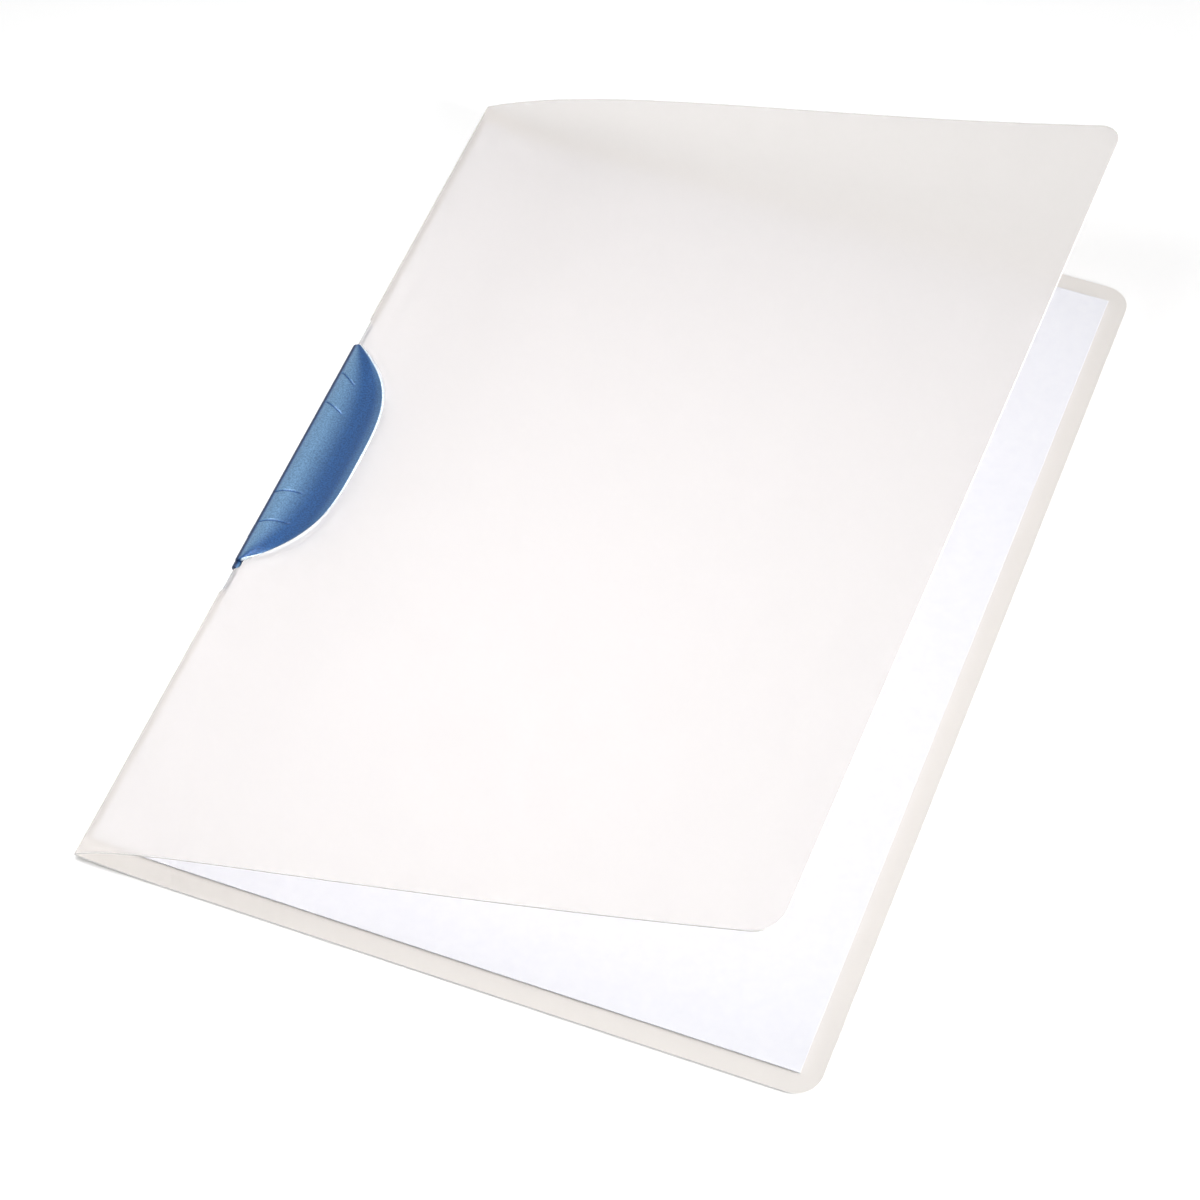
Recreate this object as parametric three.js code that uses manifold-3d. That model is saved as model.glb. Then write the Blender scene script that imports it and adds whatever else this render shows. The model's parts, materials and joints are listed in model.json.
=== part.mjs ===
// A4 clip folder: a folded sheet of frosted polypropylene with a blue swing clip at the middle of its spine.
// Millimetres, +Z up. X runs from the spine (-) to the free edge (+), Y along the spine.
// The origin is the centre of the back cover's underside. The front cover is shown standing open.

import * as THREE from 'three';
import { mergeVertices } from 'three/addons/utils/BufferGeometryUtils.js';
import Module from 'manifold-3d';

const wasm = await Module();
wasm.setup();

// Driving dimensions: the folded sheet
const coverWidth = 220;
const coverLength = 310;
const sheetThickness = 0.5;
const cornerRadius = 8;
const foldInset = 1.2; // the fold lies this far inside the cover's outline
const foldHeightBottom = 4.5; // height of the fold over the table, at the lower end of the spine
const foldHeightTop = 1.8; // and at its upper end
const foldRelief = 1.2; // each cover stops this far from the fold line
const rowMargin = 12; // rows of the mesh keep this far from the cut-out and the corners
const columnGrowth = 1.35; // columns of the mesh lie closer together near the fold: 1 is even
const curlLength = 32; // strip along the spine where the back cover lifts off the table

// How the front cover stands open: slopes in degrees, lengths along the sheet
const openBottom = { fold: 36.6, middle: 17.1, settle: 15, tip: 4.6 };
const openTop = { fold: 30.9, middle: 11.2, settle: 45, tip: 7.5 };
const dipDepth = 6; // the sheet sinks this much around the clip
const dipReach = 23; // distance from the fold to the lowest place of that hollow
const dipSpread = 55; // its spread along the spine

// The sheets of paper
const paperWidth = 210;
const paperLength = 297;
const paperThickness = 0.5;
const paperInset = 3.7; // from the spine's outline to the paper's left edge

// The swing clip
const clipLength = 89.6;
const clipDepth = 20.5; // from the pivot to the lip
const clipFlare = 3.4; // exponent of the D outline: higher is squarer
const clipOverhang = 1.2; // the D curve would reach the pivot line this far past each end
const clipTilt = 10; // degrees
const clipWall = 1.2;
const clipStub = 2.4; // the back wall runs on past the D at its lower end
const pivotInset = 2.0; // from the spine's outline to the pivot
const pivotDrop = 0.35; // the pivot lies this much under the fold line
const barrelRadius = 1.1;
const journalRadius = 0.55;
const knuckleRadius = 1.2;
const knuckleWidth = 5;
const knuckleOffset = 33; // from the middle of the clip to the middle of each knuckle
const grooveWidth = 0.4;
const grooveDepth = 0.35;

// The base strip under the back cover
const baseWidth = 10;
const baseThickness = 0.6;
const baseLength = 112;
const footPast = 0.8; // each knuckle's foot runs this far past the window's inner edge
const footHeight = 0.54;
const mouthHeight = 0.935; // the journal snaps in through this opening

// Clearances
const clearance = 0.3; // between pieces that lie on each other
const cutoutGap = 0.6; // between the clip and the cut-out in the front cover
const windowGap = 0.5; // round the base's knuckle wall

const spineX = -coverWidth / 2;
const foldX = spineX + foldInset;
const halfLength = coverLength / 2;

// Height of the fold line over the table at a place along the spine
function foldHeight(y) {
  const share = (y + halfLength) / coverLength;
  return THREE.MathUtils.lerp(foldHeightBottom, foldHeightTop, share);
}

// Middle surface of the back cover: flat on the table, rising to the fold along the spine
function backCoverHeight(x, y) {
  const flat = sheetThickness / 2;
  const rise = foldHeight(y) - flat;
  const share = Math.max(0, 1 - (x - foldX) / curlLength);
  return flat + rise * share * share;
}

// Middle line of the front cover: its slope dies away from the fold and rises again towards the tip
const lineStep = 1;
const lineSteps = Math.ceil(coverWidth / lineStep) + 2;

function openLine(open) {
  const line = [new THREE.Vector2(0, 0)];
  for (let i = 0; i < lineSteps; i += 1) {
    const s = (i + 0.5) * lineStep;
    const curl = (open.fold - open.middle) * Math.exp(-s / open.settle);
    const lift = open.tip * (s / coverWidth) ** 2;
    const slope = THREE.MathUtils.degToRad(open.middle + curl + lift);
    const last = line[i];
    line.push(new THREE.Vector2(last.x + lineStep * Math.cos(slope), last.y + lineStep * Math.sin(slope)));
  }
  return line;
}

const lineBottom = openLine(openBottom);
const lineTop = openLine(openTop);

function alongLine(line, s) {
  const i = Math.min(Math.floor(s / lineStep), line.length - 2);
  return new THREE.Vector2().lerpVectors(line[i], line[i + 1], s / lineStep - i);
}

// Point of the front cover's middle surface at a distance s from the fold
function frontCoverPoint(s, y) {
  const share = (y + halfLength) / coverLength;
  const place = alongLine(lineBottom, s).lerp(alongLine(lineTop, s), share);
  const reach = s / dipReach;
  const hollow = reach * reach * Math.exp(2 - 2 * reach) * Math.exp(-((y / dipSpread) ** 2));
  return new THREE.Vector3(foldX + place.x, y, foldHeight(y) + place.y - dipDepth * hollow);
}

function backCoverPoint(s, y) {
  const x = foldX + s;
  return new THREE.Vector3(x, y, backCoverHeight(x, y));
}

// The paper follows the back cover's inner face
const paperLift = sheetThickness / 2 + clearance + paperThickness / 2;

function paperPoint(s, y) {
  const x = foldX + s;
  return new THREE.Vector3(x, y, backCoverHeight(x, y) + paperLift);
}

// Distance that a rounded corner takes off the end of a row
function cornerLoss(y, half, radius) {
  const into = Math.max(0, Math.abs(y) - (half - radius));
  return radius - Math.sqrt(Math.max(0, radius * radius - into * into));
}

// The D outline: distance from the pivot line to the lip
function clipReach(y, depth, length) {
  const share = Math.min(1, Math.abs(y) / (length / 2 + clipOverhang));
  return depth * (1 - share ** clipFlare);
}

const upright = new THREE.Vector3(0, 0, 1);

// Direction square to a surface
function surfaceNormal(surface, s, y) {
  const probe = 0.25;
  const across = surface(s + probe, y).sub(surface(s - probe, y));
  const along = surface(s, y + probe).sub(surface(s, y - probe));
  return across.cross(along).normalize();
}

// A closed slab: rows of points on a middle surface, moved half the thickness to either side,
// along the surface's normal or straight up and down
function slab(rows, columns, startAt, endAt, surface, thickness, straight = false) {
  const points = [];
  for (const side of [-0.5, 0.5]) {
    for (const y of rows) {
      const start = startAt(y);
      const end = endAt(y);
      for (const share of columns) {
        const s = THREE.MathUtils.lerp(start, end, share);
        const way = straight ? upright : surfaceNormal(surface, s, y);
        points.push(surface(s, y).addScaledVector(way, side * thickness));
      }
    }
  }
  const width = columns.length;
  const height = rows.length;
  const at = (side, j, i) => (side * height + j) * width + i;
  const faces = [];
  const quad = (a, b, c, d) => faces.push(a, b, c, a, c, d);
  for (let j = 0; j < height - 1; j += 1) {
    for (let i = 0; i < width - 1; i += 1) {
      quad(at(1, j, i), at(1, j, i + 1), at(1, j + 1, i + 1), at(1, j + 1, i));
      quad(at(0, j, i), at(0, j + 1, i), at(0, j + 1, i + 1), at(0, j, i + 1));
    }
  }
  for (let i = 0; i < width - 1; i += 1) {
    const far = height - 1;
    quad(at(0, 0, i), at(0, 0, i + 1), at(1, 0, i + 1), at(1, 0, i));
    quad(at(0, far, i + 1), at(0, far, i), at(1, far, i), at(1, far, i + 1));
  }
  for (let j = 0; j < height - 1; j += 1) {
    const far = width - 1;
    quad(at(0, j + 1, 0), at(0, j, 0), at(1, j, 0), at(1, j + 1, 0));
    quad(at(0, j, far), at(0, j + 1, far), at(1, j + 1, far), at(1, j, far));
  }
  const geometry = new THREE.BufferGeometry().setFromPoints(points);
  geometry.setIndex(faces);
  return geometry;
}

// Evenly spaced numbers from start to end
function spread(start, end, count) {
  return Array.from({ length: count + 1 }, (_, i) => THREE.MathUtils.lerp(start, end, i / count));
}

// Row positions through a rounded corner at the far end of a sheet
function cornerRows(half, radius, count) {
  return spread(0, Math.PI / 2, count).map((angle) => half - radius + radius * Math.sin(angle));
}

const byValue = (a, b) => a - b;
const mirrored = (values) => [...values.map((value) => -value).reverse(), ...values];

// Booleans
function toSolid(geometry) {
  const bare = geometry.clone();
  bare.deleteAttribute('normal');
  bare.deleteAttribute('uv');
  const merged = mergeVertices(bare, 1e-4);
  const vertProperties = new Float32Array(merged.attributes.position.array);
  const triVerts = new Uint32Array(merged.index.array);
  return new wasm.Manifold(new wasm.Mesh({ numProp: 3, vertProperties, triVerts }));
}

function toGeometry(solid) {
  const mesh = solid.getMesh();
  const geometry = new THREE.BufferGeometry();
  geometry.setAttribute('position', new THREE.BufferAttribute(new Float32Array(mesh.vertProperties), 3));
  geometry.setIndex(new THREE.BufferAttribute(new Uint32Array(mesh.triVerts), 1));
  return geometry;
}

function box(sizeX, sizeY, sizeZ, x, y, z) {
  return toSolid(new THREE.BoxGeometry(sizeX, sizeY, sizeZ).translate(x, y, z));
}

const roundSides = 20;

// Round bar along Y between two places
function bar(radius, from, to, x = 0, z = 0) {
  const geometry = new THREE.CylinderGeometry(radius, radius, to - from, roundSides);
  return toSolid(geometry.translate(x, (from + to) / 2, z));
}

const frosted = new THREE.MeshStandardMaterial({ color: 0xeeebe8, roughness: 0.45, metalness: 0 });
const clear = new THREE.MeshStandardMaterial({ color: 0xf4f3f2, roughness: 0.4, metalness: 0 });
const paperWhite = new THREE.MeshStandardMaterial({ color: 0xf3f4fb, roughness: 0.9, metalness: 0 });
const pearlBlue = new THREE.MeshStandardMaterial({ color: 0x4f82b8, roughness: 0.35, metalness: 0.2 });
const baseBlue = new THREE.MeshStandardMaterial({ color: 0x3f6fa6, roughness: 0.45, metalness: 0.1 });

const group = new THREE.Group();

function addPiece(name, geometry, material, parent = group) {
  const mesh = new THREE.Mesh(geometry, material);
  mesh.name = name;
  parent.add(mesh);
  return mesh;
}

// Front cover: the D-shaped cut-out follows the clip, with a short step round the clip's stub
const pivotX = pivotInset - foldInset; // from the fold line
const cutLength = clipLength + 2 * cutoutGap;
const cutDepth = pivotX + clipDepth + cutoutGap;
const stubDepth = pivotX + barrelRadius + sheetThickness + cutoutGap;
const stubEnd = -clipLength / 2 - clipStub - cutoutGap;
const stepLength = 0.2; // the cut's short sides lean by this much

// Distance along the sheet at which it stands this far from the fold line, straight across
function alongSheet(distance, y) {
  let s = distance;
  for (let i = 0; i < 12; i += 1) {
    const point = frontCoverPoint(s, y);
    s += distance - Math.hypot(point.x - foldX, point.z - foldHeight(y));
  }
  return s;
}

function frontCoverStart(y) {
  if (Math.abs(y) <= cutLength / 2) {
    return alongSheet(Math.max(stubDepth, clipReach(y, cutDepth, cutLength)), y);
  }
  if (y < 0 && y >= stubEnd) {
    return alongSheet(stubDepth, y);
  }
  return foldRelief;
}

function coverEnd(y) {
  return coverWidth - foldInset - cornerLoss(y, halfLength, cornerRadius);
}

function frontCover() {
  const cutRows = spread(-80, 80, 26).map((degrees) => {
    return (cutLength / 2) * Math.sin(THREE.MathUtils.degToRad(degrees));
  });
  const sideRows = spread(cutLength / 2 + rowMargin, halfLength - cornerRadius - rowMargin, 5);
  const rows = [
    ...mirrored(cornerRows(halfLength, cornerRadius, 5)),
    ...mirrored(sideRows),
    ...cutRows,
    -cutLength / 2,
    cutLength / 2,
    cutLength / 2 + stepLength,
    stubEnd,
    stubEnd - stepLength,
  ].sort(byValue);
  const columns = spread(0, 1, 26).map((share) => share ** columnGrowth);
  return slab(rows, columns, frontCoverStart, coverEnd, frontCoverPoint, sheetThickness);
}

addPiece('front_cover', frontCover(), clear);

// Back cover: a window in its spine edge lets the clip's knuckles through
const windowHalf = baseLength / 2 + windowGap;
const windowDepth = pivotX + barrelRadius + windowGap;

function backCoverStart(y) {
  return Math.abs(y) <= windowHalf ? windowDepth : foldRelief;
}

function backCover() {
  const rows = [
    ...mirrored(cornerRows(halfLength, cornerRadius, 5)),
    ...mirrored([windowHalf, windowHalf + stepLength, (windowHalf + halfLength) / 2]),
    0,
  ].sort(byValue);
  const curlShare = curlLength / coverWidth;
  const columns = [...spread(0, curlShare, 8), ...spread(curlShare, 1, 4).slice(1)];
  return slab(rows, columns, backCoverStart, coverEnd, backCoverPoint, sheetThickness);
}

addPiece('back_cover', backCover(), frosted);

// Paper
function paper() {
  const start = paperInset - foldInset;
  const rows = spread(-paperLength / 2, paperLength / 2, 4);
  const curlShare = curlLength / paperWidth;
  const columns = [...spread(0, curlShare, 8), ...spread(curlShare, 1, 2).slice(1)];
  return slab(rows, columns, () => start, () => start + paperWidth, paperPoint, paperThickness);
}

addPiece('paper_stack', paper(), paperWhite);

// The clip and its base share a frame: the pivot line lies along the spine, parallel to the fold
const clipFrame = new THREE.Group();
clipFrame.position.set(spineX + pivotInset, 0, foldHeight(0) - pivotDrop);
clipFrame.rotation.x = -Math.atan2(foldHeightBottom - foldHeightTop, coverLength);
group.add(clipFrame);
const clipHinge = new THREE.Group();
clipHinge.rotation.y = -THREE.MathUtils.degToRad(clipTilt);
clipFrame.add(clipHinge);

// Section of the clip's plate: heights of its middle line over the pivot, and where they are reached
const backHeight = 1.2;
const ridgeHeight = 2.3;
const ridgeAt = 3.4;
const troughHeight = -2.2;
const troughAt = 14.5;
const lipHeight = 0.6;
const endLift = 2; // the lip rises by this much where the D meets the spine
const endReach = 3;

// From the back over the ridge and down through the trough, then up to the flared lip
function platePoint(s, y) {
  const reach = clipReach(y, clipDepth, clipLength);
  const back = Math.max(0, 1 - s / ridgeAt);
  const ridge = ridgeHeight - (ridgeHeight - backHeight) * back * back;
  const body = ridge - (ridgeHeight - troughHeight) * THREE.MathUtils.smoothstep(s, ridgeAt, troughAt);
  const lip = lipHeight + endLift * Math.exp(-reach / endReach);
  const flare = THREE.MathUtils.clamp(s / reach, 0, 1) ** 4;
  return new THREE.Vector3(s, y, THREE.MathUtils.lerp(body, lip, flare));
}

function clipPlate() {
  const rows = spread(-86, 86, 22).map((degrees) => {
    return (clipLength / 2) * Math.sin(THREE.MathUtils.degToRad(degrees));
  });
  rows[0] = -clipLength / 2;
  rows[rows.length - 1] = clipLength / 2;
  const columns = spread(0, 1, 20);
  const plateEnd = (y) => clipReach(y, clipDepth, clipLength);
  return slab(rows, columns, () => 0, plateEnd, platePoint, clipWall, true);
}

// Four fine grooves fan out over the ridge: start and end of each, from the pivot and from the clip's middle
const grooves = [
  { start: [0.5, -30], end: [9.5, -27.2] },
  { start: [0.5, -17.8], end: [8.8, -15.5] },
  { start: [1, 19.8], end: [7.7, 16.6] },
  { start: [1, 32.3], end: [7, 28.2] },
];

// A thin strip that lies along a groove, half sunk in the plate's upper face
function grooveStrip({ start, end }) {
  const from = new THREE.Vector2(...start);
  const way = new THREE.Vector2(...end).sub(from);
  const long = way.length();
  way.normalize();
  const surface = (s, t) => {
    const point = platePoint(from.x + way.x * s - way.y * t, from.y + way.y * s + way.x * t);
    point.z += clipWall / 2;
    return point;
  };
  const rows = [-grooveWidth / 2, grooveWidth / 2];
  return toSolid(slab(rows, spread(0, 1, 8), () => 0, () => long, surface, 2 * grooveDepth, true));
}

function swingClip() {
  const stubFrom = -clipLength / 2 - clipStub;
  let solid = toSolid(clipPlate()).add(bar(barrelRadius, stubFrom, clipLength / 2));
  const notchWidth = knuckleWidth + 2 * clearance;
  const notchSide = 2 * (knuckleRadius + clearance);
  for (const end of [-1, 1]) {
    const middle = end * knuckleOffset;
    solid = solid.subtract(box(notchSide, notchWidth, notchSide, 0, middle, 0));
    solid = solid.add(bar(journalRadius, middle - notchWidth, middle + notchWidth));
  }
  for (const groove of grooves) {
    solid = solid.subtract(grooveStrip(groove));
  }
  return solid;
}

addPiece('swing_clip', toGeometry(swingClip()), pearlBlue, clipHinge);

// Base strip: lies under the back cover, and rises into the window in the spine past the clip's ends
const baseDrop = sheetThickness / 2 + clearance + baseThickness / 2;
const baseEndsFrom = clipLength / 2 + clipStub + 2 * clearance;

function baseStart(y) {
  return Math.abs(y) > baseEndsFrom ? foldRelief / 2 : windowDepth;
}

function basePoint(s, y) {
  const x = foldX + s;
  return new THREE.Vector3(x, y, backCoverHeight(x, y) - baseDrop);
}

// A snap knuckle: a ring round the journal, open at the back, on a foot that stands on the strip
function knuckle(middle) {
  const from = middle - knuckleWidth / 2;
  const to = middle + knuckleWidth / 2;
  const footLength = windowDepth - pivotX + footPast;
  const footLevel = footHeight / 2 - knuckleRadius;
  const foot = box(footLength, knuckleWidth, footHeight, footLength / 2, middle, footLevel);
  const mouth = box(knuckleRadius * 2, knuckleWidth * 2, mouthHeight, -knuckleRadius, middle, 0);
  const bore = bar(journalRadius + clearance, from - 1, to + 1);
  return bar(knuckleRadius, from, to).add(foot).subtract(bore).subtract(mouth);
}

function clipBase() {
  const rows = [...mirrored([baseEndsFrom, baseEndsFrom + stepLength, baseLength / 2]), 0].sort(byValue);
  const strip = slab(rows, spread(0, 1, 6), baseStart, () => baseWidth, basePoint, baseThickness);
  clipFrame.updateMatrixWorld(true);
  const knuckles = [-1, 1].map((end) => knuckle(end * knuckleOffset));
  const placed = knuckles.map((solid) => toSolid(toGeometry(solid).applyMatrix4(clipFrame.matrixWorld)));
  return placed.reduce((whole, solid) => whole.add(solid), toSolid(strip));
}

addPiece('clip_base', toGeometry(clipBase()), baseBlue);

export default group;
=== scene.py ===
"""Looks of an A4 clip folder: frosted polypropylene covers, white sheets and a pearl-blue swing clip."""

import json
import math

import bpy
from mathutils import Matrix, Vector


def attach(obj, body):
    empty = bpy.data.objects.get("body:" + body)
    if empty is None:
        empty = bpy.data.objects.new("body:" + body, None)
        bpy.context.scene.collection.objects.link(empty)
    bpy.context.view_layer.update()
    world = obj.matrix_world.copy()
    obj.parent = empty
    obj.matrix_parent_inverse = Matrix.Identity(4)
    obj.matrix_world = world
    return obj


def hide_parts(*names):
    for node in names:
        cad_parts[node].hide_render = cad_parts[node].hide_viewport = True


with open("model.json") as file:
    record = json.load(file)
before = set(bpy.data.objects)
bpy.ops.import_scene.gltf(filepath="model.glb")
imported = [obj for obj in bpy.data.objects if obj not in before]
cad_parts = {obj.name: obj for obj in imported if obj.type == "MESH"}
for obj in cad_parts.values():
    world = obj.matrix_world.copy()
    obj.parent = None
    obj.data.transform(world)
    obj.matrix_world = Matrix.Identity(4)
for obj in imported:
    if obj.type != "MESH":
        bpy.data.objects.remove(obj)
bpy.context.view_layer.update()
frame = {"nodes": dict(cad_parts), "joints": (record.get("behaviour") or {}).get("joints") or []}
MM = 0.001

# Sizes of the real object, in metres, in the frame of the solids
COVER_WIDTH = 220 * MM
COVER_LENGTH = 310 * MM
SHEET = 0.5 * MM
CORNER = 8 * MM
FOLD_INSET = 1.2 * MM  # the fold lies this far inside the cover's outline
CURL_LENGTH = 32 * MM
PAPER_WIDTH = 210 * MM
PAPER_LENGTH = 297 * MM
PAPER_THICKNESS = 0.4 * MM
CLEARANCE = 0.3 * MM

FOLD = next(j for j in frame["joints"] if j["name"] == "cover_fold")
PIVOT = next(j for j in frame["joints"] if j["name"] == "clip_swing")
FOLD_X, _, FOLD_Z = FOLD["pos_m"]
# The fold line's rise for each metre towards +Y. The solids' fold line falls by as much: the leading minus is
# a known fault, and without it the sheets, the paper and the clip would follow the solids.
FOLD_FALL = -FOLD["axis"][2] / FOLD["axis"][1]
HALF = COVER_LENGTH / 2

# The swing clip
CLIP_LENGTH = 89.6 * MM
CLIP_DEPTH = 20.5 * MM
CLIP_FLARE = 3.4
CLIP_OVERHANG = 1.2 * MM
CLIP_TILT = math.radians(10)
CLIP_WALL = 1.2 * MM
CLIP_STUB = 2.4 * MM
BARREL = 1.1 * MM
CUTOUT_GAP = 0.6 * MM


def fold_height(y):
    """Height of the fold line over the table."""
    return FOLD_Z + FOLD_FALL * y


def linear(hex_colour):
    """An sRGB hex colour as linear values."""
    parts = [int(hex_colour[i : i + 2], 16) / 255 for i in (0, 2, 4)]
    return [c / 12.92 if c <= 0.04045 else ((c + 0.055) / 1.055) ** 2.4 for c in parts] + [1]


def node(tree, kind, links=(), **settings):
    """Adds a shader node, sets its properties and sockets, and links outputs into its sockets."""
    made = tree.nodes.new(kind)
    for name, value in settings.items():
        if hasattr(made, name):
            setattr(made, name, value)
        else:
            made.inputs[name.replace("_", " ")].default_value = value
    for socket, source in links:
        tree.links.new(source, made.inputs[socket])
    return made


def new_material(name):
    """An empty node material with its output."""
    material = bpy.data.materials.new(name)
    material.use_nodes = True
    material.node_tree.nodes.clear()
    output = material.node_tree.nodes.new("ShaderNodeOutputMaterial")
    return material, material.node_tree, output


def put(obj, material):
    """Gives an object this one material."""
    obj.data.materials.clear()
    obj.data.materials.append(material)


# Materials

FILM_IOR = 1.49
FILM_CLEAR = 0.65  # share of the light that goes through rather than being scattered back
FILM_HAZE = 0.24
BACK_CLEAR = 0.2  # lower, so that the back film's margin keeps its tone over the white table
BACK_HAZE = 0.4
TROUGH_SHADE_AT = 0.16  # places of the trough's painted shade and the ridge's painted light on the scale of the attribute pearl
RIDGE_LIGHT_AT = 0.72


def frosted_polypropylene(name, tint, clearness, haze):
    """Polypropylene film with a fine frost: it scatters white and blurs what lies behind it."""
    material, tree, output = new_material(name)
    place = node(tree, "ShaderNodeTexCoord")
    grain = [("Vector", place.outputs["Object"])]
    frost = node(tree, "ShaderNodeTexNoise", grain, Scale=2200.0, Detail=2.0)
    bump = node(tree, "ShaderNodeBump", [("Height", frost.outputs["Fac"])], Strength=0.05, Distance=0.00004)
    links = [("Normal", bump.outputs["Normal"])]
    shader = node(tree, "ShaderNodeBsdfPrincipled", links, IOR=FILM_IOR, Roughness=haze)
    shader.inputs["Base Color"].default_value = linear(tint)
    shader.inputs["Transmission Weight"].default_value = clearness
    tree.links.new(shader.outputs[0], output.inputs["Surface"])
    return material


def film_cut_edge(name):
    """Cut edges of the film: smooth, painted a shade darker than the lit faces, as painted shade along the
    edges.
    """
    material, tree, output = new_material(name)
    shader = node(tree, "ShaderNodeBsdfPrincipled", Roughness=0.4, IOR=FILM_IOR)
    # Painted shade: the cut edges are coloured darker than the film's faces.
    shader.inputs["Base Color"].default_value = linear("E8E6E5")
    tree.links.new(shader.outputs[0], output.inputs["Surface"])
    return material


def office_paper(name):
    """Wood-free 80 gram paper, calendered: bluish white and matt, with a faint cloudiness."""
    material, tree, output = new_material(name)
    place = node(tree, "ShaderNodeTexCoord")
    cloud = node(tree, "ShaderNodeTexNoise", [("Vector", place.outputs["Object"])], Scale=350.0, Detail=6.0)
    tone = node(tree, "ShaderNodeMix", [("Factor", cloud.outputs["Fac"])], data_type="RGBA")
    tone.inputs["A"].default_value = linear("EFF0F8")
    tone.inputs["B"].default_value = linear("F6F7FC")
    fibre = node(tree, "ShaderNodeTexNoise", [("Vector", place.outputs["Object"])], Scale=5000.0, Detail=4.0)
    bump = node(tree, "ShaderNodeBump", [("Height", fibre.outputs["Fac"])], Strength=0.08, Distance=0.00004)
    links = [("Base Color", tone.outputs["Result"]), ("Normal", bump.outputs["Normal"])]
    shader = node(tree, "ShaderNodeBsdfPrincipled", links, Roughness=0.85, IOR=1.5)
    tree.links.new(shader.outputs[0], output.inputs["Surface"])
    return material


def pearl_plastic_painted_light(name, wall, deep, light, edge):
    """ABS moulded with pearl pigment: satin blue with a fine glitter.

    The blue across the section is painted light and shade: painted light on the ridge, which reads greyish
    and light, and on the lip, painted shade on the back wall, in the trough and in the grooves, and a
    near-white painted highlight along the lip's edge. The vertex attribute pearl carries it, from 0 on the
    back wall to 1 at the thin lip.
    """
    material, tree, output = new_material(name)
    place = node(tree, "ShaderNodeTexCoord")
    turn = node(tree, "ShaderNodeAttribute", attribute_name="pearl")
    flakes = node(tree, "ShaderNodeTexNoise", [("Vector", place.outputs["Object"])], Scale=2200.0, Detail=2.0)
    glitter = node(tree, "ShaderNodeMapRange", [("Value", flakes.outputs["Fac"])])
    glitter.inputs["From Min"].default_value = 0.35
    glitter.inputs["From Max"].default_value = 0.65
    glitter.inputs["To Min"].default_value = 0.78
    glitter.inputs["To Max"].default_value = 1.3
    # Painted light and shade: the ramp goes from the back wall's painted shade through the trough's painted
    # shade and the ridge's painted light to a near-white painted highlight at the lip's edge.
    hue = node(tree, "ShaderNodeValToRGB", [("Fac", turn.outputs["Fac"])])
    ramp = hue.color_ramp
    ramp.elements[0].color = linear(wall)
    ramp.elements[1].color = linear(edge)
    ramp.elements.new(TROUGH_SHADE_AT).color = linear(deep)
    ramp.elements.new(RIDGE_LIGHT_AT).color = linear(light)
    links = [("A", hue.outputs["Color"]), ("B", glitter.outputs["Result"])]
    tone = node(tree, "ShaderNodeMix", links, data_type="RGBA", blend_type="MULTIPLY", Factor=1.0)
    bump = node(tree, "ShaderNodeBump", [("Height", flakes.outputs["Fac"])], Strength=0.15, Distance=0.00006)
    links = [("Base Color", tone.outputs["Result"]), ("Normal", bump.outputs["Normal"])]
    shader = node(tree, "ShaderNodeBsdfPrincipled", links, Roughness=0.36, IOR=1.53, Metallic=0.3)
    tree.links.new(shader.outputs[0], output.inputs["Surface"])
    return material


FRONT_FILM = frosted_polypropylene("frosted_front_film", "FBF8F6", FILM_CLEAR, FILM_HAZE)
BACK_FILM = frosted_polypropylene("frosted_back_film", "FBF7F3", BACK_CLEAR, BACK_HAZE)
SHADED_CUT_EDGE = film_cut_edge("film_cut_edge")
PAPER_WHITE = office_paper("white_office_paper")
# Ramp colours: painted shade on the back wall, painted shade in the trough, painted light on the ridge and a
# near-white painted highlight along the lip's edge; the base's material is made the same way.
PEARL_BLUE_PAINTED_LIGHT = pearl_plastic_painted_light("pearl_blue_abs", "0E2B50", "1D4B80", "5F84A7", "E4F3FD")
BASE_BLUE = pearl_plastic_painted_light("pearl_blue_base", "30547F", "3A6090", "6B8CAB", "A9C4DC")


# Surfaces that the flat blanks are bent to

# Slopes of the standing cover at the spine's lower and upper end, in degrees: at the fold, at its middle, and
# what the free edge adds. The curl by the fold dies away over the settle length.
OPEN_BOTTOM = {"fold": 36.6, "middle": 17.1, "settle": 15 * MM, "tip": 4.6}
OPEN_TOP = {"fold": 30.9, "middle": 11.2, "settle": 45 * MM, "tip": 7.5}
DIP_DEPTH = 6 * MM
DIP_REACH = 23 * MM
DIP_SPREAD = 55 * MM
LINE_STEP = 0.5 * MM


def open_line(shape):
    """Section of the standing cover, as points one step of arc apart."""
    line = [Vector((0, 0))]
    for i in range(int(COVER_WIDTH / LINE_STEP) + 8):
        s = (i + 0.5) * LINE_STEP
        curl = (shape["fold"] - shape["middle"]) * math.exp(-s / shape["settle"])
        slope = math.radians(shape["middle"] + curl + shape["tip"] * (s / COVER_WIDTH) ** 2)
        line.append(line[-1] + LINE_STEP * Vector((math.cos(slope), math.sin(slope))))
    return line


LINE_BOTTOM = open_line(OPEN_BOTTOM)
LINE_TOP = open_line(OPEN_TOP)


def along_line(line, s):
    """Point of a section at a distance s along it."""
    i = min(int(s / LINE_STEP), len(line) - 2)
    return line[i].lerp(line[i + 1], s / LINE_STEP - i)


def front_surface(s, y):
    """Middle surface of the front cover at a distance s from the fold."""
    place = along_line(LINE_BOTTOM, s).lerp(along_line(LINE_TOP, s), (y + HALF) / COVER_LENGTH)
    reach = s / DIP_REACH
    hollow = reach**2 * math.exp(2 - 2 * reach) * math.exp(-((y / DIP_SPREAD) ** 2))
    return Vector((FOLD_X + place.x, y, fold_height(y) + place.y - DIP_DEPTH * hollow))


def back_surface(s, y):
    """Middle surface of the back cover."""
    flat = SHEET / 2
    share = max(0.0, 1 - s / CURL_LENGTH)
    return Vector((FOLD_X + s, y, flat + (fold_height(y) - flat) * share**2))


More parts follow.
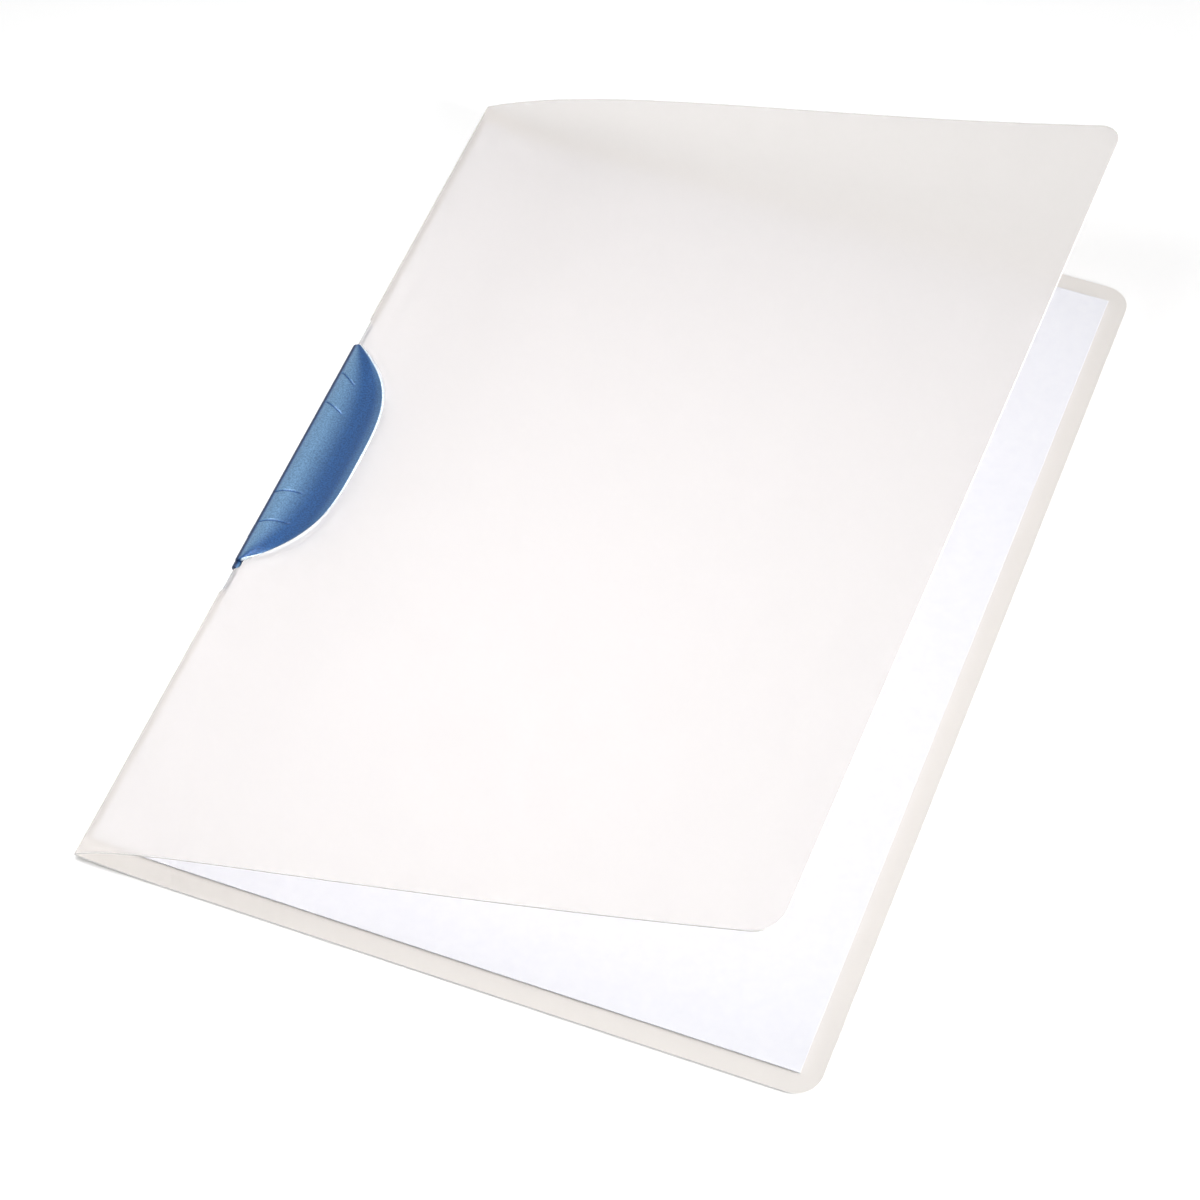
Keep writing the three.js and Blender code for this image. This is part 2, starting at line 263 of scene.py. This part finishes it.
def paper_surface(s, y):
    """Middle surface of the sheets, which follow the back cover's inner face."""
    return back_surface(s, y) + Vector((0, 0, SHEET / 2 + CLEARANCE + PAPER_THICKNESS / 2))


def clip_reach(y, depth=CLIP_DEPTH, length=CLIP_LENGTH):
    """Distance from the pivot to the edge of the D."""
    share = min(1.0, abs(y) / (length / 2 + CLIP_OVERHANG))
    return depth * (1 - share**CLIP_FLARE)


# Flat blanks and how they are bent


def deselect_all():
    for obj in bpy.context.selected_objects:
        obj.select_set(False)


def activate(obj):
    deselect_all()
    obj.select_set(True)
    bpy.context.view_layer.objects.active = obj


def blank(name, columns, rows):
    """A flat grid with its lines at the given places, as the film leaves the slitter."""
    deselect_all()
    bpy.ops.mesh.primitive_grid_add(
        x_subdivisions=len(columns) - 1, y_subdivisions=len(rows) - 1, size=1, location=(0, 0, 0)
    )
    obj = bpy.context.object
    obj.name = name
    for vertex in obj.data.vertices:
        column = round((vertex.co.x + 0.5) * (len(columns) - 1))
        row = round((vertex.co.y + 0.5) * (len(rows) - 1))
        vertex.co = (columns[column], rows[row], 0)
    return obj


def steps(start, end, size):
    """Even places from start to end, both with them, about one size apart."""
    count = max(1, round((end - start) / size))
    return [start + (end - start) * i / count for i in range(count + 1)]


def crowded_shares(crowded, count, size):
    """Shares of a sheet's width, close together up to the first crowded share, where the sheet curls."""
    return [i / count * crowded for i in range(count)] + steps(crowded, 1, size)


def sheet_rows():
    """Places along the spine: close together at the round corners and round the clip."""
    corner = [HALF - CORNER * (1 - math.sin(math.radians(a))) for a in range(0, 91, 9)]
    outer = steps(STEP_AT, HALF - CORNER, ROW_FAR)[:-1]
    half = outer + corner
    near = steps(-STEP_AT, STEP_AT, ROW_NEAR)[1:-1]
    return sorted({round(y, 7) for y in [-y for y in half] + near + half})


def bend(obj, surface):
    """Moves each point of a flat blank onto a curved surface."""
    for vertex in obj.data.vertices:
        vertex.co = surface(vertex.co.x, vertex.co.y)


def apply(obj, kind, **settings):
    """Adds a modifier, sets it and applies it."""
    activate(obj)
    modifier = obj.modifiers.new(kind.lower(), kind)
    for name, value in settings.items():
        setattr(modifier, name, value)
    bpy.ops.object.modifier_apply(modifier=modifier.name)


def smooth(obj, degrees=35):
    activate(obj)
    bpy.ops.object.shade_smooth_by_angle(angle=math.radians(degrees))


def snap_rows(obj, start, end):
    """Stretches each row of a blank between the two edges of its outline."""
    low = min(v.co.x for v in obj.data.vertices)
    high = max(v.co.x for v in obj.data.vertices)
    for vertex in obj.data.vertices:
        share = (vertex.co.x - low) / (high - low)
        first, last = start(vertex.co.y), end(vertex.co.y)
        vertex.co.x = first + (last - first) * share


def corner_loss(y, half, radius):
    into = max(0.0, abs(y) - (half - radius))
    return radius - math.sqrt(max(0.0, radius**2 - into**2))


# Front cover

PIVOT_X = PIVOT["pos_m"][0] - FOLD_X
CUT_LENGTH = CLIP_LENGTH + 2 * CUTOUT_GAP
CUT_DEPTH = PIVOT_X + CLIP_DEPTH + CUTOUT_GAP
STUB_DEPTH = PIVOT_X + BARREL + SHEET + CUTOUT_GAP
STUB_END = -CLIP_LENGTH / 2 - CLIP_STUB - CUTOUT_GAP
FOLD_RELIEF = 0.55 * MM
STEP_AT = 60 * MM  # the rows lie close together up to here, past both ends of the clip
WINDOW_HALF = 56.5 * MM  # half the length of the window in the spine
WINDOW_DEPTH = 2.4 * MM
WINDOW_RELIEF = 1.2 * MM
ROW_NEAR = 0.8 * MM
ROW_FAR = 2.5 * MM
EDGE_BREAK = 0.08 * MM


def along_sheet(distance, y):
    """Distance along the sheet to the place that stands this far from the fold line."""
    s = distance
    for _ in range(12):
        point = front_surface(s, y)
        s += distance - math.hypot(point.x - FOLD_X, point.z - fold_height(y))
    return s


def front_start(y):
    if abs(y) <= CUT_LENGTH / 2:
        return along_sheet(max(STUB_DEPTH, clip_reach(y, CUT_DEPTH, CUT_LENGTH)), y)
    if STUB_END <= y < 0:
        return along_sheet(STUB_DEPTH, y)
    if abs(y) <= WINDOW_HALF:
        return WINDOW_RELIEF
    return FOLD_RELIEF


def cover_end(y):
    return COVER_WIDTH - FOLD_INSET - corner_loss(y, HALF, CORNER)


def finish_film(sheet, film):
    """Gives a bent blank its thickness, broken edges and material, and its rim the cut edge's painted shade.
    """
    put(sheet, film)
    sheet.data.materials.append(SHADED_CUT_EDGE)
    apply(sheet, "SOLIDIFY", thickness=SHEET, offset=0, material_offset_rim=1)
    apply(sheet, "BEVEL", width=EDGE_BREAK, segments=1, limit_method="ANGLE", angle_limit=math.radians(60))
    smooth(sheet)


def make_front_cover():
    sheet = blank("front_film", crowded_shares(0.18, 40, 0.0135), sheet_rows())
    snap_rows(sheet, front_start, cover_end)
    bend(sheet, front_surface)
    finish_film(sheet, FRONT_FILM)
    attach(sheet, "front_cover")
    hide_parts("front_cover")


LYING_SHARES = (0.16, 30, 0.02)
PAPER_INSET = 2.5 * MM  # from the fold to the paper
PAPER_ROW = 3 * MM


def make_back_cover():
    sheet = blank("back_film", crowded_shares(*LYING_SHARES), sheet_rows())
    snap_rows(sheet, lambda y: WINDOW_DEPTH if abs(y) <= WINDOW_HALF else 0, cover_end)
    bend(sheet, back_surface)
    finish_film(sheet, BACK_FILM)
    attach(sheet, "root")
    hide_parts("back_cover")


def make_paper():
    across = [PAPER_INSET + PAPER_WIDTH * share for share in crowded_shares(*LYING_SHARES)]
    sheet = blank("paper", across, steps(-PAPER_LENGTH / 2, PAPER_LENGTH / 2, PAPER_ROW))
    bend(sheet, paper_surface)
    apply(sheet, "SOLIDIFY", thickness=PAPER_THICKNESS, offset=0)
    smooth(sheet)
    put(sheet, PAPER_WHITE)
    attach(sheet, "root")
    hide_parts("paper_stack")


make_front_cover()
make_back_cover()
make_paper()


# The swing clip: a closed section lofted along the spine

BACK_HEIGHT = 1.2 * MM
RIDGE_HEIGHT = 2.3 * MM
RIDGE_AT = 3.4 * MM
TROUGH_HEIGHT = -2.2 * MM
TROUGH_AT = 14.5 * MM
LIP_HEIGHT = 0.6 * MM
END_LIFT = 2 * MM
END_REACH = 3 * MM
SHOULDER = 0.35 * MM
UNDERCUT = 1.3 * MM
END_ROUNDING = 0.5 * MM
ROW_STEP = 0.25 * MM
GROOVES = (  # their ends in millimetres, from the pivot and from the clip's middle
    ((0.5, -30), (9.5, -27.2)),
    ((0.5, -17.8), (8.8, -15.5)),
    ((1, 19.8), (7.7, 16.6)),
    ((1, 32.3), (7, 28.2)),
)
GROOVE_DEPTH = 0.35 * MM
GROOVE_SPREAD = 0.24 * MM
JOURNAL = 0.55 * MM
END_SINK = 1 * MM  # the stub and the journal start this far inside the clip's ends
KNUCKLE_OFFSET = 33 * MM
NOTCH = Vector((3.0, 5.6, 3.0)) * MM


def smoothstep(value, start, end):
    share = min(1.0, max(0.0, (value - start) / (end - start)))
    return share * share * (3 - 2 * share)


def plate_height(x, reach):
    """Height of the plate's middle over the pivot: back, ridge, trough and flared lip."""
    back = max(0.0, 1 - x / RIDGE_AT)
    ridge = RIDGE_HEIGHT - (RIDGE_HEIGHT - BACK_HEIGHT) * back**2
    body = ridge - (RIDGE_HEIGHT - TROUGH_HEIGHT) * smoothstep(x, RIDGE_AT, TROUGH_AT)
    lip = LIP_HEIGHT + END_LIFT * math.exp(-reach / END_REACH)
    flare = min(1.0, max(0.0, x / reach)) ** 4
    return body + (lip - body) * flare


def groove_depth(x, y):
    """Depth of the four fine grooves, which fade out at their ends."""
    depth = 0.0
    place = Vector((x, y))
    for start, end in GROOVES:
        first = Vector(start) * MM
        along = Vector(end) * MM - first
        share = (place - first).dot(along) / along.length_squared
        inside = smoothstep(share, -0.04, 0.1) * (1 - smoothstep(share, 0.85, 1.05))
        off = (place - first - along * share).length
        depth = max(depth, GROOVE_DEPTH * inside * math.exp(-((off / GROOVE_SPREAD) ** 2)))
    return depth


def round_points(centre_x, centre_z, wide, high, angles):
    turns = [math.radians(a) for a in angles]
    return [(centre_x + wide * math.cos(a), centre_z + high * math.sin(a)) for a in turns]


def clip_section(y):
    """Closed section: over the ridge and trough, round the lip, back below and round the pivot."""
    reach = clip_reach(y)
    half = CLIP_WALL / 2
    tip = reach - half
    under = min(UNDERCUT, 0.9 * tip)
    over = [SHOULDER + (tip - SHOULDER) * share for share in steps(0, 1, 1 / 64)]
    below = [tip + (under - tip) * share for share in steps(0, 1, 1 / 24)]
    crown = plate_height(SHOULDER, reach) + half
    points = [(x, plate_height(x, reach) + half - groove_depth(x, y)) for x in over]
    points += round_points(tip, plate_height(tip, reach), half, half, range(75, -76, -25))
    points += [(x, plate_height(x, reach) - half) for x in below]
    points += round_points(0, 0, BARREL, BARREL, range(15, -181, -15))
    points += round_points(SHOULDER, 0, SHOULDER + BARREL, crown, range(170, 90, -10))
    return points


def painted_light_at(x, y):
    """Painted light and shade on the clip: light on the ridge and lip, shade on the back wall and in a
    groove.
    """
    reach = max(clip_reach(y), CLIP_WALL)
    share = x / reach
    # Painted shade on the back wall and in the trough, painted light on the ridge.
    wall = smoothstep(x, 0.2 * MM, 1.5 * MM)
    ridge = 1 - smoothstep(share, 0.2, 0.6)
    # The lip is painted lighter and its edge gets a near-white painted highlight.
    lip = 0.3 * smoothstep(share, 0.76, 0.95) + 0.65 * smoothstep(x, reach - 0.75 * MM, reach - 0.4 * MM)
    # The grooves are painted darker, as painted shade.
    groove_shade = groove_depth(x, y) / GROOVE_DEPTH
    return (wall * (TROUGH_SHADE_AT + (RIDGE_LIGHT_AT - TROUGH_SHADE_AT) * ridge) + lip) * (1 - 0.9 * groove_shade)


def clip_rows():
    """Places along the clip, each with the amount its section draws in to round the clip's ends."""
    end = CLIP_LENGTH / 2
    turns = [math.radians(a) for a in (90, 75, 60, 45, 30, 15)]
    rounded = [(end - END_ROUNDING * (1 - math.sin(a)), END_ROUNDING * (1 - math.cos(a))) for a in turns]
    middle = [(y, 0.0) for y in steps(END_ROUNDING - end, end - END_ROUNDING, ROW_STEP)]
    return [(-y, inset) for y, inset in rounded] + middle + list(reversed(rounded))


def drawn_in(points, inset):
    """A section made smaller about its middle, which rounds the clip's ends."""
    centre = sum((Vector(p) for p in points), Vector((0, 0))) / len(points)
    return [centre + (Vector(p) - centre) * (1 - inset / BARREL) for p in points]


CLIP_PLACE = (
    Matrix.Translation(PIVOT["pos_m"])
    @ Matrix.Rotation(math.atan(FOLD_FALL), 4, "X")
    @ Matrix.Rotation(-CLIP_TILT, 4, "Y")
)


def clip_shell():
    rows = clip_rows()
    sections = [drawn_in(clip_section(y), inset) if inset else clip_section(y) for y, inset in rows]
    count = len(sections[0])
    shell = blank("clip_moulding", list(range(count + 1)), list(range(len(rows))))
    for vertex in shell.data.vertices:
        row = round(vertex.co.y)
        x, z = sections[row][round(vertex.co.x) % count]
        vertex.co = CLIP_PLACE @ Vector((x, rows[row][0], z))
    activate(shell)
    bpy.ops.object.mode_set(mode="EDIT")
    bpy.ops.mesh.select_all(action="SELECT")
    bpy.ops.mesh.remove_doubles(threshold=1e-6)
    bpy.ops.mesh.select_all(action="DESELECT")
    bpy.ops.mesh.select_non_manifold()
    bpy.ops.mesh.edge_face_add()
    bpy.ops.mesh.select_all(action="SELECT")
    bpy.ops.mesh.normals_make_consistent(inside=False)
    bpy.ops.object.mode_set(mode="OBJECT")
    return shell


def bar(name, radius, start, end, rounding):
    """Round bar along the pivot line."""
    deselect_all()
    bpy.ops.mesh.primitive_cylinder_add(vertices=32, radius=radius, depth=end - start, location=(0, 0, 0))
    obj = bpy.context.object
    obj.name = name
    turn = Matrix.Rotation(math.radians(90), 4, "X")
    obj.data.transform(CLIP_PLACE @ Matrix.Translation((0, (start + end) / 2, 0)) @ turn)
    apply(obj, "BEVEL", width=rounding, segments=3, limit_method="ANGLE", angle_limit=math.radians(60))
    return obj


def cut_notch(shell, y):
    """Room for one of the base's knuckles."""
    deselect_all()
    bpy.ops.mesh.primitive_cube_add(size=1, location=(0, 0, 0))
    cutter = bpy.context.object
    cutter.data.transform(CLIP_PLACE @ Matrix.Translation((0, y, 0)) @ Matrix.Diagonal((*NOTCH, 1)))
    apply(shell, "BOOLEAN", operation="DIFFERENCE", solver="EXACT", object=cutter)
    bpy.data.objects.remove(cutter)


def make_clip():
    clip = clip_shell()
    cut_notch(clip, -KNUCKLE_OFFSET)
    cut_notch(clip, KNUCKLE_OFFSET)
    end = CLIP_LENGTH / 2
    stub = bar("clip_stub", BARREL, -end - CLIP_STUB, -end + END_SINK, 0.3 * MM)
    journal = bar("clip_journal", JOURNAL, -end + END_SINK, end - END_SINK, 0.1 * MM)
    activate(clip)
    stub.select_set(True)
    journal.select_set(True)
    bpy.ops.object.join()
    put(clip, PEARL_BLUE_PAINTED_LIGHT)
    smooth(clip, 50)
    # The attribute pearl carries the clip's painted light and shade.
    pearl = clip.data.attributes.new("pearl", "FLOAT", "POINT")
    to_local = CLIP_PLACE.inverted()
    for vertex, value in zip(clip.data.vertices, pearl.data):
        local = to_local @ vertex.co
        value.value = painted_light_at(local.x, local.y)
    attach(clip, "swing_clip")
    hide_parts("swing_clip")


make_clip()


def finish_cad(name, material):
    """A solid from the frame keeps its mesh and gets its finish."""
    put(frame["nodes"][name], material)


finish_cad("clip_base", BASE_BLUE)


# Floor, light and camera

# The softbox hangs close over the clip; the side panel stands 0.9 m away and needs more power.
WORLD_TOP = 0.52
WORLD_SIDE = 0.24
SOFTBOX_PLACE = (-0.13, -0.06, 0.36)
SOFTBOX_TARGET = (-0.08, -0.06, 0)
SOFTBOX_SIZE = 0.3
SOFTBOX_POWER = 1.15
SIDE_PANEL_PLACE = (0.9, -0.12, 0.24)
SIDE_PANEL_TARGET = (0.05, -0.05, 0)
SIDE_PANEL_SIZE = 0.4
SIDE_PANEL_POWER = 10.5
FLOOR_LIFT = 0.12


def make_floor():
    """A white table that keeps the shadow. To the camera it glows a little, so that it reads white."""
    deselect_all()
    bpy.ops.mesh.primitive_plane_add(size=8, location=(0, 0, -0.0002))
    floor = bpy.context.object
    floor.name = "floor"
    material, tree, output = new_material("white_backdrop")
    shader = node(tree, "ShaderNodeBsdfDiffuse")
    shader.inputs["Color"].default_value = linear("FAFAFA")
    path = node(tree, "ShaderNodeLightPath")
    lift = node(tree, "ShaderNodeMath", [(0, path.outputs["Is Camera Ray"])], operation="MULTIPLY")
    lift.inputs[1].default_value = FLOOR_LIFT
    glow = node(tree, "ShaderNodeEmission", [("Strength", lift.outputs["Value"])])
    both = node(tree, "ShaderNodeAddShader", [(0, shader.outputs[0]), (1, glow.outputs[0])])
    tree.links.new(both.outputs[0], output.inputs["Surface"])
    put(floor, material)


def make_world():
    """A white room, brighter overhead than at its sides; seen, mirrored or through film it is plain white."""
    world = bpy.data.worlds.new("white_studio")
    bpy.context.scene.world = world
    world.use_nodes = True
    tree = world.node_tree
    tree.nodes.clear()
    output = node(tree, "ShaderNodeOutputWorld")
    way = node(tree, "ShaderNodeTexCoord")
    parts = node(tree, "ShaderNodeSeparateXYZ", [("Vector", way.outputs["Generated"])])
    level = node(tree, "ShaderNodeMapRange", [("Value", parts.outputs["Z"])], clamp=True)
    level.inputs["To Min"].default_value = WORLD_SIDE
    level.inputs["To Max"].default_value = WORLD_TOP
    path = node(tree, "ShaderNodeLightPath")
    links = [(0, path.outputs["Is Camera Ray"]), (1, path.outputs["Is Glossy Ray"])]
    seen = node(tree, "ShaderNodeMath", links, operation="MAXIMUM")
    links = [(0, seen.outputs["Value"]), (1, path.outputs["Is Transmission Ray"])]
    seen_or_through = node(tree, "ShaderNodeMath", links, operation="MAXIMUM")
    lamp_light = node(tree, "ShaderNodeBackground", [("Strength", level.outputs["Result"])])
    lamp_light.inputs["Color"].default_value = (1, 1, 1, 1)
    plain_white = node(tree, "ShaderNodeBackground", Strength=1.0)
    plain_white.inputs["Color"].default_value = (1, 1, 1, 1)
    links = [(0, seen_or_through.outputs["Value"]), (1, lamp_light.outputs[0]), (2, plain_white.outputs[0])]
    both = node(tree, "ShaderNodeMixShader", links)
    tree.links.new(both.outputs[0], output.inputs["Surface"])


def area_light(name, place, target, size, power):
    data = bpy.data.lights.new(name, "AREA")
    data.shape = "DISK"
    data.size = size
    data.energy = power
    lamp = bpy.data.objects.new(name, data)
    bpy.context.scene.collection.objects.link(lamp)
    lamp.location = place
    lamp.rotation_euler = (Vector(target) - Vector(place)).to_track_quat("-Z", "Y").to_euler()


CAMERA_PLACE = Vector((233.2, -639.1, 872.2)) * MM
CAMERA_TARGET = Vector((-3.6, -17.7, 0)) * MM
SENSOR = 36
LENS = 111.6


def make_camera():
    data = bpy.data.cameras.new("camera")
    data.sensor_width = SENSOR
    data.lens = LENS
    data.clip_end = 20
    camera = bpy.data.objects.new("camera", data)
    bpy.context.scene.collection.objects.link(camera)
    camera.location = CAMERA_PLACE
    camera.rotation_euler = (CAMERA_TARGET - CAMERA_PLACE).to_track_quat("-Z", "Y").to_euler()
    bpy.context.scene.camera = camera


make_floor()
make_world()
area_light("softbox", SOFTBOX_PLACE, SOFTBOX_TARGET, SOFTBOX_SIZE, SOFTBOX_POWER)
area_light("side_panel", SIDE_PANEL_PLACE, SIDE_PANEL_TARGET, SIDE_PANEL_SIZE, SIDE_PANEL_POWER)
make_camera()
bpy.context.scene.view_settings.view_transform = "Standard"
